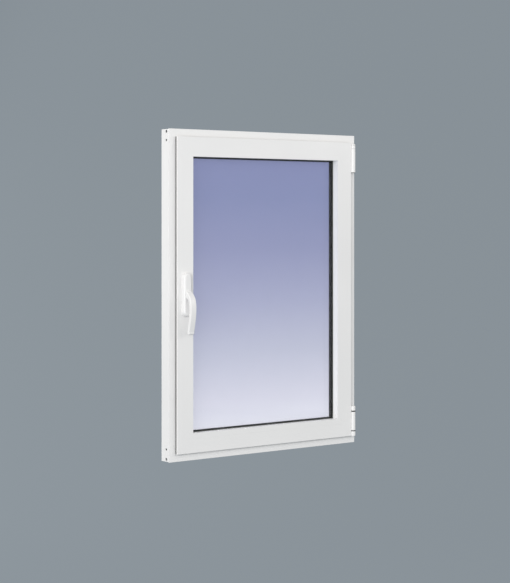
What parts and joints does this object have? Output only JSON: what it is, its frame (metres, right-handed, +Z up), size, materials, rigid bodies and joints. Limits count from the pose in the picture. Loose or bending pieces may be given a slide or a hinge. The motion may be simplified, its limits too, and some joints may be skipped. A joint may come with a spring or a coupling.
{
  "type": "casement window",
  "caption": "White aluminium tilt and turn casement window with one insulating glass pane, a lever handle on the left and exposed hinges on the right.",
  "frame": {"origin": "middle of the frame's underside, at half the frame's depth", "axes": "+Z up, -Y towards the room and the handle, +X towards the hinge side"},
  "size_m": [0.75, 0.092, 1],
  "materials": {
    "frame_powder_coat": "white polyester powder coat, satin",
    "sash_powder_coat": "white polyester powder coat, satin",
    "cleat_aluminium": "mill finish casting",
    "zinc_steel": "bright zinc plated",
    "rod_aluminium": "mill finish",
    "keep_zinc": "zinc die casting",
    "white_hardware": "white powder coat, satin",
    "handle_coat": "white powder coat, smooth satin",
    "handle_plate_zinc": "zinc die casting",
    "black_nylon": "moulded nylon",
    "black_rubber": "EPDM rubber",
    "edge_seal": "polysulphide sealant",
    "spacer_black": "black anodised",
    "glass": "clear float glass"
  },
  "bodies": {
    "frame": {"frame_bar_left": "frame_powder_coat", "frame_bar_right": "frame_powder_coat", "frame_bar_top": "frame_powder_coat", "frame_bar_bottom": "frame_powder_coat", "frame_corner_cleats": "cleat_aluminium", "frame_cleat_pins": "zinc_steel", "rebate_gasket": "black_rubber", "locking_keeps": "keep_zinc", "keep_screws": "zinc_steel", "top_hinge_bearing": "white_hardware", "top_hinge_pin": "zinc_steel", "top_hinge_pin_cap": "black_nylon", "top_hinge_screws": "zinc_steel", "bottom_hinge_rest": "white_hardware", "bottom_hinge_screws": "zinc_steel"},
    "hinge_carrier": {"hinge_swivel": "black_nylon"},
    "stay": {"stay_arm": "white_hardware", "stay_rivet": "zinc_steel"},
    "handle": {"handle_lever": "handle_coat", "handle_spindle": "zinc_steel", "drive_pinion": "zinc_steel"},
    "upper_rod": {"upper_drive_rod": "rod_aluminium", "upper_cams": "zinc_steel"},
    "lower_rod": {"lower_drive_rod": "rod_aluminium", "lower_cams": "zinc_steel"},
    "sash": {"edge_sealant": "edge_seal", "gear_case": "keep_zinc", "glazing_bead_bottom": "sash_powder_coat", "glazing_bead_left": "sash_powder_coat", "glazing_bead_right": "sash_powder_coat", "glazing_bead_top": "sash_powder_coat", "handle_base_plate": "handle_plate_zinc", "handle_base_screws": "zinc_steel", "handle_cover": "handle_coat", "height_adjuster_screw": "zinc_steel", "inner_glazing_gasket": "black_rubber", "inner_pane": "glass", "outer_glazing_gasket": "black_rubber", "outer_pane": "glass", "pivot_stud": "zinc_steel", "rod_guides": "black_nylon", "sash_bar_bottom": "sash_powder_coat", "sash_bar_left": "sash_powder_coat", "sash_bar_right": "sash_powder_coat", "sash_bar_top": "sash_powder_coat", "sash_corner_cleats": "cleat_aluminium", "sash_flange_gasket": "black_rubber", "sash_hinge": "white_hardware", "sash_hinge_bush": "black_nylon", "sash_hinge_cap": "white_hardware", "sash_hinge_screws": "zinc_steel", "setting_blocks": "black_nylon", "spacer_bar": "spacer_black", "stay_slider": "keep_zinc", "stay_slider_screws": "zinc_steel"}
  },
  "joints": [
    {"name": "turn", "type": "hinge", "parent": "frame", "child": "hinge_carrier", "pos_m": [0.3603, -0.03, 0.03], "axis": [0, 0, 1], "range_deg": [0, 100]},
    {"name": "tilt", "type": "hinge", "parent": "hinge_carrier", "child": "sash", "pos_m": [0.3603, -0.03, 0.03], "axis": [1, 0, 0], "range_deg": [0, 7]},
    {"name": "stay_swing", "type": "hinge", "parent": "hinge_carrier", "child": "stay", "pos_m": [0.3603, -0.03, 0.963], "axis": [0, 0, 1], "range_deg": [0, 22.06]},
    {"name": "handle_turn", "type": "hinge", "parent": "sash", "child": "handle", "pos_m": [-0.321, -0.04, 0.5015], "axis": [0, -1, 0], "range_deg": [0, 180]},
    {"name": "upper_rod_slide", "type": "slide", "parent": "sash", "child": "upper_rod", "axis": [0, 0, -1], "range_m": [0, 0.01571]},
    {"name": "lower_rod_slide", "type": "slide", "parent": "sash", "child": "lower_rod", "axis": [0, 0, 1], "range_m": [0, 0.01571]}
  ],
  "couplings": [
    {"joint": "stay_swing", "follows": "tilt", "ratio": 3.15},
    {"joint": "upper_rod_slide", "follows": "handle_turn", "m_per_rad": 0.005},
    {"joint": "lower_rod_slide", "follows": "handle_turn", "m_per_rad": 0.005}
  ]
}
